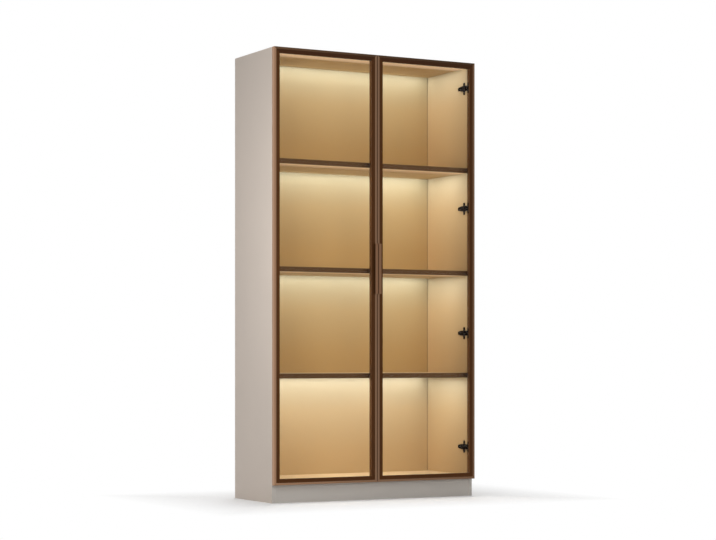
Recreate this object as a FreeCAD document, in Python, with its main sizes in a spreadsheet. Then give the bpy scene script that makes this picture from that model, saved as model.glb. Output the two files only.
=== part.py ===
import FreeCAD, Part
import Sketcher
import os
import re

# Tall display bookcase with two hinged glass doors and three lit shelves.
# Millimetres.  X runs to the right, Y to the back, Z up.  The origin lies on the floor, in the
# middle of the footprint, pulls included.

os.makedirs("parts", exist_ok=True)
doc = FreeCAD.newDocument("glass_door_bookcase")
sheet = doc.addObject("Spreadsheet::Sheet", "sizes")
# Driving sizes
SIZES = {
    # Carcass
    "overallWidth": 1032,
    "overallHeight": 2000,
    "carcassDepth": 380,
    "board": 18,
    "backThick": 8,
    "backInset": 2,
    "rebateWide": 8,
    "plinthHigh": 80,
    "plinthSetback": 1,
    "fitGap": 0.2,
    "edgeRound": 1,
    # Doors
    "doorGap": 2.5,
    "doorThick": 22,
    "meetingGap": 3,
    "frameWide": 27,
    "rimWide": 10,
    "rimRound": 0.6,
    "flangeStep": 1,
    "chamberWall": 2,
    "chamberDeep": 5.5,
    "grooveFront": 3.5,
    "grooveDeep": 4.2,
    "glassThick": 4,
    "gasketThick": 0.6,
    "keyLeg": 34,
    "keyPlay": 0.1,
    # Shelves and their front trims
    "shelfThick": 22,
    "trimSetback": 12,
    "trimThick": 2,
    "trimRound": 0.4,
    "tongueThick": 1.6,
    "tongueDeep": 7,
    "shelfEndGap": 0.4,
    "upperShelfTop": 1517,
    "middleShelfTop": 1041,
    "lowerShelfTop": 569,
    "pinRadius": 2.5,
    "pinInBoard": 10,
    "pinInShelf": 14,
    "pinFromEdge": 60,
    # Light lines
    "lightWide": 11,
    "lightDeep": 8,
    "lightWall": 1,
    "lightCentre": 46,
    "diffuserThick": 1.5,
    "tapeWide": 7,
    "tapeThick": 1,
    # Dowels of the carcass
    "dowelRadius": 4,
    "dowelInSide": 12,
    "dowelInBoard": 20,
    "dowelFromFront": 88,
    "dowelFromRear": 60,
    # Hinges: one pin in each cup, on a cranked arm
    "hingeBottom": 226,
    "hingeLow": 753,
    "hingeHigh": 1331,
    "hingeFromTop": 112,
    "pivotIn": 6.2,
    "pivotDeep": 9.2,
    "hingePinRadius": 1.5,
    "pinClear": 0.05,
    "knuckleRadius": 3,
    "neckThick": 2.6,
    "neckHigh": 22,
    "neckFromPanel": 0.4,
    "neckBend": 0.8,
    "barThick": 3.2,
    "armHigh": 23,
    "armTail": 13,
    "armWall": 2,
    "armProud": 12.5,
    "armFoot": 2.5,
    "armLong": 77,
    "armShoulder": 12,
    "armLap": 1,
    "plateCentre": 37,
    "plateHigh": 57,
    "plateWide": 14,
    "plateThick": 2,
    "spineLong": 42,
    "spineProud": 10.3,
    "spineHigh": 8.4,
    "cupHigh": 34,
    "cupWall": 0.6,
    "cupInnerLeft": 2.9,
    "cupInnerRight": 21.3,
    "cupInnerDeep": 12.6,
    "flangeHigh": 49,
    "flangeThick": 1.2,
    "flangeLeft": 1.4,
    "flangeCorner": 4,
    "cupScrewSpan": 41,
    "cupScrewRadius": 1.5,
    "cupScrewLong": 7,
    "cupScrewRim": 1,
    "cupScrewHead": 0.8,
    "armScrewRadius": 2,
    "armScrewLong": 8,
    "armScrewRim": 1.4,
    "armScrewHead": 1.6,
    "cupPlay": 0.1,
    "plateScrewSpan": 32,
    "plateScrewRadius": 2.5,
    "plateScrewDeep": 11,
    "plateScrewRim": 1.5,
    "plateScrewHead": 1,
    "screwPlay": 0.05,
    # Pulls and door bumpers
    "pullReach": 11.5,
    "pullLip": 14,
    "pullWall": 2,
    "pullFoot": 9.5,
    "pullRound": 0.8,
    "pullLong": 226,
    "pullCentre": 1038,
    "pullScrewSpan": 192,
    "pullScrewRadius": 2,
    "pullHeadRadius": 3.5,
    "pullHeadDeep": 2.6,
    "bumperRadius": 4,
    "bumperPlay": 0.3,
    # Light driver in the plinth space
    "driverLong": 176,
    "driverWide": 58,
    "driverHigh": 26,
    "driverCorner": 5,
    "earLong": 12,
    "earWide": 24,
    "earThick": 3,
    "earBore": 2.2,
    "ribWide": 4,
    "ribDeep": 1.5,
}
# Sizes worked out from the driving ones
WORKED_OUT = {
    "hingeTop": "overallHeight - hingeFromTop",
    "totalDepth": "carcassDepth + doorGap + doorThick + pullReach",
    "rearFace": "totalDepth / 2",
    "carcassFront": "rearFace - carcassDepth",
    "doorBack": "carcassFront - doorGap",
    "doorFront": "doorBack - doorThick",
    "outerSide": "-overallWidth / 2",
    "innerSide": "outerSide + board",
    "backFront": "rearFace - backInset - backThick",
    "ceiling": "overallHeight - board",
    "floorTop": "plinthHigh + board",
    "insideWide": "overallWidth - 2 * board",
    "doorWide": "(overallWidth - meetingGap) / 2",
    "doorHigh": "overallHeight - plinthHigh",
    "grooveWide": "glassThick + 2 * gasketThick",
    "grooveBack": "grooveFront + grooveWide",
    "chamberWide": "rimWide - 2 * chamberWall",
    "trimFront": "carcassFront + trimSetback",
    "shelfFront": "trimFront + trimThick",
    "shelfLong": "insideWide - 2 * shelfEndGap",
    "neckLeft": "board + neckFromPanel",
    "neckRight": "neckLeft + neckThick",
    "neckRound": "neckThick + 0.5 * neckBend",
    "cheekDeep": "doorThick - grooveBack - fitGap",
}

row = 0
for name, value in SIZES.items():
    row += 1
    sheet.set("A%d" % row, name)
    sheet.set("B%d" % row, str(value))
    sheet.setAlias("B%d" % row, name)
for name, formula in WORKED_OUT.items():
    row += 1
    sheet.set("A%d" % row, name)
    sheet.set("B%d" % row, "=" + formula)
    sheet.setAlias("B%d" % row, name)
reckoner = doc.addObject("Spreadsheet::Sheet", "reckoner")
doc.recompute()


def named(text):
    """Write an expression of size names the way the document refers to the sheet's cells."""
    return re.sub(r"[A-Za-z_]\w*", lambda word: "sizes." + word.group(0), str(text))


def number(text):
    """The present value of an expression of size names, in millimetres."""
    reckoner.set("A1", "=" + named(text))
    reckoner.recompute()
    found = reckoner.get("A1")
    return float(getattr(found, "Value", found))


def bind(thing, **sizes_of):
    """Tie properties of an object to expressions of size names."""
    for name, text in sizes_of.items():
        thing.setExpression(name, named(text))


def place(thing, x=0, y=0, z=0):
    """Tie the place of an object to expressions of size names."""
    for axis, text in zip("xyz", (x, y, z)):
        thing.setExpression("Placement.Base." + axis, named(text))
    return thing


def box(label, x, y, z, length, width, height):
    """A block whose near lower left corner is at x, y, z."""
    made = doc.addObject("Part::Box", label)
    bind(made, Length=length, Width=width, Height=height)
    return place(made, x, y, z)


def rod(label, radius, length, turn, x=0, y=0, z=0):
    """A round rod from x, y, z on, along the turned Z axis."""
    made = doc.addObject("Part::Cylinder", label)
    bind(made, Radius=radius, Height=length)
    made.Placement.Rotation = turn
    return place(made, x, y, z)


def cut(label, base, tools):
    """The base with every tool taken away."""
    made = doc.addObject("Part::Cut", label)
    made.Base = base
    made.Tool = tools[0] if len(tools) == 1 else group(label + "_tools", tools)
    return made


def group(label, pieces):
    """Several separate pieces as one object."""
    made = doc.addObject("Part::Compound", label)
    made.Links = pieces
    return made


def copy(thing, label, x=0, y=0, z=0):
    """A linked copy of a piece, moved to x, y, z."""
    made = doc.addObject("App::Link", label)
    made.LinkedObject = thing
    made.LinkTransform = True
    return place(made, x, y, z)


def mirror(label, source):
    """The same piece on the other side of the middle plane X = 0."""
    made = doc.addObject("Part::Mirroring", label)
    made.Source = source
    made.Normal = FreeCAD.Vector(1, 0, 0)
    return made


def body(label):
    return doc.addObject("PartDesign::Body", label)


def plane_of(owner, role):
    """One of the three origin planes of a body."""
    return [item for item in owner.Origin.OriginFeatures if item.Role == role][0]


def sketch(owner, label, role, lift=0):
    """An empty sketch on an origin plane of its body, lifted along the plane's normal."""
    made = owner.newObject("Sketcher::SketchObject", label)
    made.AttachmentSupport = (plane_of(owner, role), [""])
    made.MapMode = "FlatFace"
    made.setExpression("AttachmentOffset.Base.z", named(lift))
    return made


def polygon(target, corners):
    """A closed outline; each corner is a pair of expressions measured from the sketch's origin."""
    points = [FreeCAD.Vector(number(x), number(y), 0) for x, y in corners]
    first = target.GeometryCount
    count = len(points)
    for index in range(count):
        target.addGeometry(Part.LineSegment(points[index], points[(index + 1) % count]), False)
    for index in range(count):
        line = first + index
        onward = first + (index + 1) % count
        target.addConstraint(Sketcher.Constraint("Coincident", line, 2, onward, 1))
        for kind, text in zip(("DistanceX", "DistanceY"), corners[index]):
            held = target.addConstraint(Sketcher.Constraint(kind, -1, 1, line, 1, number(text)))
            target.setExpression("Constraints[%d]" % held, named(text))
    return target


def rectangle(target, left, low, right, high):
    return polygon(target, [(left, low), (right, low), (right, high), (left, high)])


def circle(target, x, y, radius):
    """A circle; its centre and radius are expressions."""
    centre = FreeCAD.Vector(number(x), number(y), 0)
    ring = target.addGeometry(Part.Circle(centre, FreeCAD.Vector(0, 0, 1), number(radius)), False)
    for kind, text in zip(("DistanceX", "DistanceY"), (x, y)):
        held = target.addConstraint(Sketcher.Constraint(kind, -1, 1, ring, 3, number(text)))
        target.setExpression("Constraints[%d]" % held, named(text))
    held = target.addConstraint(Sketcher.Constraint("Radius", ring, number(radius)))
    target.setExpression("Constraints[%d]" % held, named(radius))
    return target


def pad(owner, label, target, length, both=False, turned=False):
    """Grow a sketch along its normal, or evenly to both sides, or turned the other way."""
    made = owner.newObject("PartDesign::Pad", label)
    made.Profile = target
    made.SideType = "Symmetric" if both else "One side"
    made.Reversed = turned
    bind(made, Length=length)
    return made


def pocket(owner, label, target, length=None, both=False, turned=False):
    """Cut a sketch against its normal, all the way through where no length is given."""
    before = solid_volume(owner)
    made = owner.newObject("PartDesign::Pocket", label)
    made.Profile = target
    made.SideType = "Symmetric" if both else "One side"
    made.Reversed = turned
    if length is None:
        made.Type = "ThroughAll"
    else:
        bind(made, Length=length)
    if solid_volume(owner) > before - 0.01:
        raise ValueError(label + " of " + owner.Label + " cuts nothing")
    return made


def solid_volume(owner):
    doc.recompute()
    return owner.Shape.Volume


def fillet(owner, label, radius, spots, across="XY"):
    """Round the straight edges that cross a plane squarely at the given spots; across names its axes."""
    doc.recompute()
    base = owner.Tip
    wanted = [[number(text) for text in spot] for spot in spots]
    names = []
    for index, edge in enumerate(base.Shape.Edges):
        ends = [[getattr(end.Point, axis.lower()) for axis in across] for end in edge.Vertexes]
        for spot in wanted:
            if all(abs(value - target) < 0.01 for end in ends for value, target in zip(end, spot)):
                names.append("Edge%d" % (index + 1))
    if len(names) < len(spots):
        raise ValueError(label + " of " + owner.Label + " finds too few edges")
    made = owner.newObject("PartDesign::Fillet", label)
    made.Base = (base, names)
    bind(made, Radius=radius)
    return made


TURN_NONE = FreeCAD.Rotation()
# A piece drawn along its own Z: QUARTER lays it along X, BACKWARD along Y.
QUARTER = FreeCAD.Rotation(FreeCAD.Vector(0, 1, 0), 90)
HALF = FreeCAD.Rotation(FreeCAD.Vector(0, 1, 0), 180)
THREE_QUARTERS = FreeCAD.Rotation(FreeCAD.Vector(0, 1, 0), -90)
BACKWARD = FreeCAD.Rotation(FreeCAD.Vector(1, 0, 0), -90)

HINGES = ["hingeBottom", "hingeLow", "hingeHigh", "hingeTop"]
SHELVES = {"upper": "upperShelfTop", "middle": "middleShelfTop", "lower": "lowerShelfTop"}
nodes = []


def node(thing):
    """Keep a finished piece for export under its own label."""
    nodes.append(thing)
    return thing


# ---------------------------------------------------------------- carcass
# Dowel spots are Y from the carcass front and Z from the floor, the same in both boards.
DEPTH_SPOTS = ["dowelFromFront", "carcassDepth / 2", "carcassDepth - dowelFromRear"]
FRONT_PLINTH_Y = "plinthSetback + board / 2"
REAR_PLINTH_Y = "backFront - carcassFront - board / 2"
PLINTH_SPOTS = ["plinthHigh / 4", "plinthHigh * 3 / 4"]
DOWEL_SPOTS = [(y, "plinthHigh + board / 2") for y in DEPTH_SPOTS]
DOWEL_SPOTS += [(y, "ceiling + board / 2") for y in DEPTH_SPOTS]
DOWEL_SPOTS += [(y, z) for y in (FRONT_PLINTH_Y, REAR_PLINTH_Y) for z in PLINTH_SPOTS]
# Shelf pins, Y from the carcass front.
PIN_SPOTS = ["pinFromEdge", "backFront - carcassFront - pinFromEdge"]


def side_panel():
    """Full-height board with a rebate for the back panel and blind bores in its inner face."""
    owner = body("left_side_panel")
    shoulder = "backFront - carcassFront"
    inner = "board - rebateWide"
    plan = sketch(owner, "side_plan", "XY_Plane")
    corners = [(0, 0), ("board", 0), ("board", shoulder), (inner, shoulder)]
    polygon(plan, corners + [(inner, "carcassDepth"), (0, "carcassDepth")])
    pad(owner, "side_board", plan, "overallHeight")
    fillet(owner, "side_front_edges", "edgeRound", [(0, 0), ("board", 0)])
    bores = sketch(owner, "side_dowel_spots", "YZ_Plane", "board")
    for y, z in DOWEL_SPOTS:
        circle(bores, y, z, "dowelRadius")
    pocket(owner, "side_dowel_bores", bores, "dowelInSide")
    pins = sketch(owner, "side_pin_spots", "YZ_Plane", "board")
    for top in SHELVES.values():
        for y in PIN_SPOTS:
            circle(pins, y, top + " - shelfThick / 2", "pinRadius")
    pocket(owner, "side_pin_bores", pins, "pinInBoard")
    screws = sketch(owner, "side_plate_screw_spots", "YZ_Plane", "board")
    for z in HINGES:
        for side in ("-", "+"):
            circle(screws, "plateCentre", z + side + "plateScrewSpan / 2", "plateScrewRadius + screwPlay")
    pocket(owner, "side_plate_screw_bores", screws, "plateScrewDeep")
    return place(owner, "outerSide", "carcassFront", 0)


def end_bores(owner, label, spots, radius, depth, long):
    """Blind bores in both ends of a board that lies along X."""
    near = sketch(owner, label + "_left_spots", "YZ_Plane")
    far = sketch(owner, label + "_right_spots", "YZ_Plane", long)
    for y, z in spots:
        circle(near, y, z, radius)
        circle(far, y, z, radius)
    pocket(owner, label + "_left_bores", near, depth, turned=True)
    pocket(owner, label + "_right_bores", far, depth)


def light_notch(front, low):
    """Corners of the groove for a light line, seen from the side, for a board's underside."""
    left = "lightCentre - lightWide / 2 - (%s)" % front
    right = "lightCentre + lightWide / 2 - (%s)" % front
    return [(left, low), (left, "lightDeep"), (right, "lightDeep"), (right, low)]


# The lower and the upper front edge of a board that lies along X.
FRONT_EDGES = [(0, 0), (0, "board")]


def top_panel():
    owner = body("top_panel")
    shoulder = "backFront - carcassFront"
    side = sketch(owner, "top_side", "YZ_Plane")
    rebate = [(shoulder, 0), (shoulder, "rebateWide"), ("carcassDepth", "rebateWide")]
    polygon(side, [(0, 0)] + light_notch("0", 0) + rebate + [("carcassDepth", "board"), (0, "board")])
    pad(owner, "top_board", side, "insideWide")
    fillet(owner, "top_front_edges", "edgeRound", FRONT_EDGES, "YZ")
    spots = [(y, "board / 2") for y in DEPTH_SPOTS]
    end_bores(owner, "top_dowel", spots, "dowelRadius", "dowelInBoard", "insideWide")
    return place(owner, "innerSide", "carcassFront", "ceiling")


def bottom_panel():
    owner = body("bottom_panel")
    shoulder = "backFront - carcassFront"
    step = "board - rebateWide"
    side = sketch(owner, "bottom_side", "YZ_Plane")
    polygon(side, [(0, 0), ("carcassDepth", 0), ("carcassDepth", step), (shoulder, step), (shoulder, "board"),
                   (0, "board")])
    pad(owner, "bottom_board", side, "insideWide")
    fillet(owner, "bottom_front_edges", "edgeRound", FRONT_EDGES, "YZ")
    spots = [(y, "board / 2") for y in DEPTH_SPOTS]
    end_bores(owner, "bottom_dowel", spots, "dowelRadius", "dowelInBoard", "insideWide")
    return place(owner, "innerSide", "carcassFront", "plinthHigh")


def plinth(label, y):
    owner = body(label)
    side = sketch(owner, label + "_side", "YZ_Plane")
    rectangle(side, 0, 0, "board", "plinthHigh")
    pad(owner, label + "_board", side, "insideWide")
    spots = [("board / 2", z) for z in PLINTH_SPOTS]
    end_bores(owner, label + "_dowel", spots, "dowelRadius", "dowelInBoard", "insideWide")
    return place(owner, "innerSide", y, 0)


def dowels():
    """Beech dowels between the side panels and every board that ends on them."""
    long = "dowelInSide + dowelInBoard - 2 * fitGap"
    dowel = rod("dowel", "dowelRadius - fitGap / 2", long, QUARTER)
    pieces = []
    for index, (y, z) in enumerate(DOWEL_SPOTS):
        start = "innerSide - dowelInSide + fitGap"
        pieces.append(copy(dowel, "left_dowel_%d" % index, start, "carcassFront + " + y, z))
        start = "-innerSide - dowelInBoard + fitGap"
        pieces.append(copy(dowel, "right_dowel_%d" % index, start, "carcassFront + " + y, z))
    return group("carcass_dowels", pieces)


left_side = node(side_panel())
node(mirror("right_side_panel", left_side))
node(top_panel())
node(bottom_panel())
node(box("back_panel", "innerSide - rebateWide + fitGap", "backFront", "floorTop - rebateWide + fitGap",
         "insideWide + 2 * rebateWide - 2 * fitGap", "backThick",
         "ceiling - floorTop + 2 * rebateWide - 2 * fitGap"))
node(plinth("front_plinth", "carcassFront + plinthSetback"))
node(plinth("rear_plinth", "backFront - board"))
node(dowels())


# ---------------------------------------------------------------- shelves and light lines
def shelf_board(label, top):
    """Shelf with a slot for its front trim, a groove for its light line and bores for its pins."""
    owner = body(label)
    deep = "backFront - shelfFront - fitGap"
    slot_low = "(shelfThick - tongueThick) / 2 - fitGap / 2"
    slot_high = "(shelfThick + tongueThick) / 2 + fitGap / 2"
    slot_deep = "tongueDeep + fitGap"
    side = sketch(owner, label + "_side", "YZ_Plane")
    slot = [(0, slot_high), (slot_deep, slot_high), (slot_deep, slot_low), (0, slot_low)]
    outline = [(0, 0)] + light_notch("shelfFront - carcassFront", 0)
    polygon(side, outline + [(deep, 0), (deep, "shelfThick"), (0, "shelfThick")] + slot)
    pad(owner, label + "_board", side, "shelfLong")
    spots = [(y + " - (shelfFront - carcassFront)", "shelfThick / 2") for y in PIN_SPOTS]
    end_bores(owner, label + "_pin", spots, "pinRadius + fitGap / 2", "pinInShelf", "shelfLong")
    return place(owner, "innerSide + shelfEndGap", "shelfFront", top + " - shelfThick")


def shelf_trim(label, top):
    """Front edge profile: a face as high as the shelf and a tongue that goes into its slot."""
    owner = body(label)
    reach = "trimThick + tongueDeep"
    low = "(shelfThick - tongueThick) / 2"
    high = "(shelfThick + tongueThick) / 2"
    side = sketch(owner, label + "_side", "YZ_Plane")
    tongue = [("trimThick", low), (reach, low), (reach, high), ("trimThick", high)]
    polygon(side, [(0, 0), ("trimThick", 0)] + tongue + [("trimThick", "shelfThick"), (0, "shelfThick")])
    pad(owner, label + "_profile", side, "shelfLong")
    fillet(owner, label + "_edges", "trimRound", [(0, 0), (0, "shelfThick")], "YZ")
    return place(owner, "innerSide + shelfEndGap", "trimFront", top + " - shelfThick")


def light_line(name, underside):
    """Channel, light tape and flush diffuser of one light line; Y is measured from its centre."""
    channel = body(name + "_light_channel")
    half = "lightWide / 2 - fitGap / 2"
    inner = "lightWide / 2 - fitGap / 2 - lightWall"
    crown = "lightDeep - fitGap / 2"
    side = sketch(channel, name + "_channel_side", "YZ_Plane")
    outside = [("-(%s)" % half, 0), ("-(%s)" % half, crown), (half, crown), (half, 0)]
    roof = crown + " - lightWall"
    inside = [(inner, 0), (inner, roof), ("-(%s)" % inner, roof), ("-(%s)" % inner, 0)]
    polygon(side, outside + inside)
    pad(channel, name + "_channel_profile", side, "shelfLong")
    start = "innerSide + shelfEndGap"
    middle = "carcassFront + lightCentre"
    node(place(channel, start, middle, underside))
    wide = "2 * (%s) - fitGap" % inner
    node(box(name + "_light_diffuser", start, middle + " - (%s) / 2" % wide, underside, "shelfLong", wide,
             "diffuserThick"))
    above = underside + " + " + roof + " - tapeThick"
    node(box(name + "_light_tape", start, middle + " - tapeWide / 2", above, "shelfLong", "tapeWide",
             "tapeThick"))


def shelf_pins():
    pin = rod("shelf_pin", "pinRadius - screwPlay", "pinInBoard + pinInShelf - 2 * fitGap", QUARTER)
    pieces = []
    for name, top in SHELVES.items():
        for index, y in enumerate(PIN_SPOTS):
            height = top + " - shelfThick / 2"
            start = "innerSide - pinInBoard + fitGap"
            pieces.append(copy(pin, "left_%s_pin_%d" % (name, index), start, "carcassFront + " + y, height))
            start = "-innerSide - pinInShelf + fitGap"
            pieces.append(copy(pin, "right_%s_pin_%d" % (name, index), start, "carcassFront + " + y, height))
    return group("shelf_pins", pieces)


# Cooling grooves below the driver.
RIB_GROOVES = 8


def light_driver():
    """Closed driver housing that hangs under the bottom panel: screw ears at its ends, ribs below."""
    owner = body("light_driver")
    case = sketch(owner, "driver_plan", "XY_Plane")
    far = "driverLong - earLong"
    rectangle(case, "earLong", 0, far, "driverWide")
    pad(owner, "driver_case", case, "driverHigh")
    corners = [(x, y) for x in ("earLong", far) for y in ("0", "driverWide")]
    fillet(owner, "driver_corners", "driverCorner", corners)
    ears = sketch(owner, "driver_ear_plan", "XY_Plane", "driverHigh - earThick")
    rectangle(ears, 0, "(driverWide - earWide) / 2", "driverLong", "(driverWide + earWide) / 2")
    pad(owner, "driver_ears", ears, "earThick")
    bores = sketch(owner, "driver_ear_spots", "XY_Plane", "driverHigh")
    for x in ("earLong / 2", "driverLong - earLong / 2"):
        circle(bores, x, "driverWide / 2", "earBore")
    pocket(owner, "driver_ear_bores", bores, "earThick")
    grooves = sketch(owner, "driver_rib_plan", "XY_Plane")
    for count in range(RIB_GROOVES):
        left = "earLong + driverCorner + ribWide * %d" % (2 * count + 1)
        rectangle(grooves, left, "driverCorner", left + " + ribWide", "driverWide - driverCorner")
    pocket(owner, "driver_rib_grooves", grooves, "ribDeep", turned=True)
    return place(owner, "-driverLong / 2", "rearFace - carcassDepth / 2 - driverWide / 2",
                 "plinthHigh - driverHigh")


light_line("top", "ceiling")
for name, top in SHELVES.items():
    node(shelf_board(name + "_shelf_board", top))
    node(shelf_trim(name + "_shelf_trim", top))
    light_line(name, top + " - shelfThick")
node(shelf_pins())
node(light_driver())


# ---------------------------------------------------------------- door frames
# A frame member lies along its own Z.  X runs from the door's outer edge inwards, Y from the
# door's front to its back.
def frame_member(label, long):
    """Mitred aluminium profile: rim with a key chamber, flange with a hollow back, groove for the glass."""
    owner = body(label)
    bottom = "frameWide - grooveDeep"
    section = sketch(owner, label + "_section", "XY_Plane")
    front = [(0, 0), ("rimWide", 0), ("rimWide", "flangeStep"), ("frameWide", "flangeStep")]
    groove = [("frameWide", "grooveFront"), (bottom, "grooveFront"), (bottom, "grooveBack"),
              ("frameWide", "grooveBack")]
    polygon(section, front + groove + [("frameWide", "doorThick"), (0, "doorThick")])
    rectangle(section, "chamberWall", "chamberWall", "chamberWall + chamberWide", "chamberWall + chamberDeep")
    rectangle(section, "rimWide", "grooveBack + chamberWall",
              bottom + " - chamberWall", "doorThick - chamberWall")
    pad(owner, label + "_profile", section, long)
    fillet(owner, label + "_edges", "rimRound", [(0, 0), ("rimWide", 0), (0, "doorThick")])
    mitres = sketch(owner, label + "_mitre_lines", "XZ_Plane")
    past = "frameWide + board"
    polygon(mitres, [("-board", "-board"), (past, past), (past, "-board")])
    far = "(%s) + board" % long
    near = "(%s) - frameWide - board" % long
    polygon(mitres, [("-board", far), (past, near), (past, far)])
    pocket(owner, label + "_mitres", mitres)
    return owner


# Middle of the cup's flange, across the stile.
CUP_MIDDLE = "(flangeLeft + frameWide) / 2"


def hinge_stile():
    """Outer stile, opened at the back and at its inner edge for the four hinge cups."""
    owner = frame_member("left_door_hinge_stile", "doorHigh")
    recess = sketch(owner, "flange_recess_lines", "XZ_Plane", "-doorThick")
    cups = sketch(owner, "cup_opening_lines", "XZ_Plane", "-doorThick")
    cheeks = sketch(owner, "cup_cheek_lines", "XZ_Plane", "-doorThick")
    screws = sketch(owner, "cup_screw_spots", "XZ_Plane", "-doorThick")
    past = "frameWide + board"
    corners = []
    for hinge in HINGES:
        middle = hinge + " - plinthHigh"
        low = middle + " - flangeHigh / 2 - cupPlay"
        high = middle + " + flangeHigh / 2 + cupPlay"
        rectangle(recess, "flangeLeft - cupPlay", low, past, high)
        rectangle(cheeks, "cupInnerRight + cupWall - cupPlay", low, past, high)
        rectangle(cups, "cupInnerLeft - cupWall - cupPlay", middle + " - cupHigh / 2 - cupPlay",
                  "cupInnerRight + cupWall + cupPlay", middle + " + cupHigh / 2 + cupPlay")
        for side in ("-", "+"):
            circle(screws, CUP_MIDDLE, middle + side + "cupScrewSpan / 2", "cupScrewRadius + screwPlay")
        corners += [("flangeLeft - cupPlay", z) for z in (low, high)]
    pocket(owner, "flange_recesses", recess, "flangeThick", turned=True)
    fillet(owner, "flange_recess_corners", "flangeCorner + cupPlay", corners, "XZ")
    pocket(owner, "cup_cheek_notches", cheeks, "cheekDeep", turned=True)
    pocket(owner, "cup_openings", cups, "cupInnerDeep + cupWall + cupPlay", turned=True)
    pocket(owner, "cup_screw_bores", screws, "cupScrewLong", turned=True)
    return place(owner, "outerSide", "doorFront", "plinthHigh")


def meeting_stile():
    """Inner stile, bored from the back for the two pull screws."""
    owner = frame_member("left_door_meeting_stile", "doorHigh")
    bores = sketch(owner, "pull_screw_spots", "XZ_Plane")
    heads = sketch(owner, "pull_head_spots", "XZ_Plane", "-doorThick")
    for side in ("-", "+"):
        along = "overallHeight - pullCentre " + side + " pullScrewSpan / 2"
        circle(bores, "rimWide / 2", along, "pullScrewRadius + screwPlay")
        circle(heads, "rimWide / 2", along, "pullHeadRadius + screwPlay")
    pocket(owner, "pull_screw_bores", bores)
    pocket(owner, "pull_head_bores", heads, "pullHeadDeep", turned=True)
    owner.Placement.Rotation = HALF
    return place(owner, "outerSide + doorWide", "doorFront", "overallHeight")


def rail(label, turn, x, z):
    owner = frame_member(label, "doorWide")
    owner.Placement.Rotation = turn
    return place(owner, x, "doorFront", z)


def door_block(label, inset, front, thick):
    """An upright block inside the left door's outline, inset evenly from its four edges."""
    return box(label, "outerSide + " + inset, "doorFront + " + front, "plinthHigh + " + inset,
               "doorWide - 2 * (%s)" % inset, thick, "doorHigh - 2 * (%s)" % inset)


def corner_keys():
    """Four L-shaped keys that hold the mitres together inside the rims."""
    key = body("corner_key")
    near = "chamberWall + keyPlay"
    far = "chamberWall + chamberWide - keyPlay"
    face = sketch(key, "key_face", "XZ_Plane", "-(chamberWall + keyPlay)")
    along = [(near, near), ("keyLeg", near), ("keyLeg", far)]
    polygon(face, along + [(far, far), (far, "keyLeg"), (near, "keyLeg")])
    pad(key, "key_block", face, "chamberDeep - 2 * keyPlay", turned=True)
    corners = {
        "low_outer": (TURN_NONE, "outerSide", "plinthHigh"),
        "low_inner": (THREE_QUARTERS, "outerSide + doorWide", "plinthHigh"),
        "high_inner": (HALF, "outerSide + doorWide", "overallHeight"),
        "high_outer": (QUARTER, "outerSide", "overallHeight"),
    }
    pieces = []
    for name, (turn, x, z) in corners.items():
        piece = copy(key, "key_" + name, x, "doorFront", z)
        piece.Placement.Rotation = turn
        pieces.append(piece)
    return group("left_door_corner_keys", pieces)


# ---------------------------------------------------------------- hinges
# Hinge pieces are drawn about a point on the door's outer back edge at the hinge's middle: X runs
# inwards from the cabinet's outer side, Y back from the door's back face.
def hinge_cup():
    """Cast cup with a flush flange: an open pocket in which the arm's knuckle turns on the pin.
    Its cheek closes the notch in the stile's inner edge, behind the glass."""
    owner = body("hinge_cup")
    flange = sketch(owner, "cup_flange_lines", "XZ_Plane")
    rectangle(flange, "flangeLeft", "-flangeHigh / 2", "frameWide", "flangeHigh / 2")
    pad(owner, "cup_flange", flange, "flangeThick")
    fillet(owner, "cup_flange_corners", "flangeCorner",
           [("flangeLeft", "-flangeHigh / 2"), ("flangeLeft", "flangeHigh / 2")], "XZ")
    cheek = sketch(owner, "cup_cheek_side", "XZ_Plane")
    rectangle(cheek, "cupInnerRight + cupWall", "-flangeHigh / 2", "frameWide", "flangeHigh / 2")
    pad(owner, "cup_cheek", cheek, "cheekDeep - cupPlay")
    shell = sketch(owner, "cup_shell_lines", "XZ_Plane")
    rectangle(shell, "cupInnerLeft - cupWall", "-cupHigh / 2", "cupInnerRight + cupWall", "cupHigh / 2")
    pad(owner, "cup_shell", shell, "cupInnerDeep + cupWall")
    hollow = sketch(owner, "cup_hollow_lines", "XZ_Plane")
    rectangle(hollow, "cupInnerLeft", "cupWall - cupHigh / 2", "cupInnerRight", "cupHigh / 2 - cupWall")
    pocket(owner, "cup_hollow", hollow, "cupInnerDeep", turned=True)
    pivot = sketch(owner, "cup_pivot_spot", "XY_Plane")
    circle(pivot, "pivotIn", "-pivotDeep", "hingePinRadius")
    pocket(owner, "cup_pivot_bores", pivot, "cupHigh + flangeThick", both=True)
    screws = sketch(owner, "cup_flange_spots", "XZ_Plane")
    for side in ("-", ""):
        circle(screws, CUP_MIDDLE, side + "cupScrewSpan / 2", "cupScrewRadius + screwPlay")
    pocket(owner, "cup_flange_bores", screws, "flangeThick", turned=True)
    return owner


# The arm's screws, Y from the carcass front.
ARM_SCREWS = ["plateCentre - plateWide", "plateCentre + plateWide"]


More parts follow.
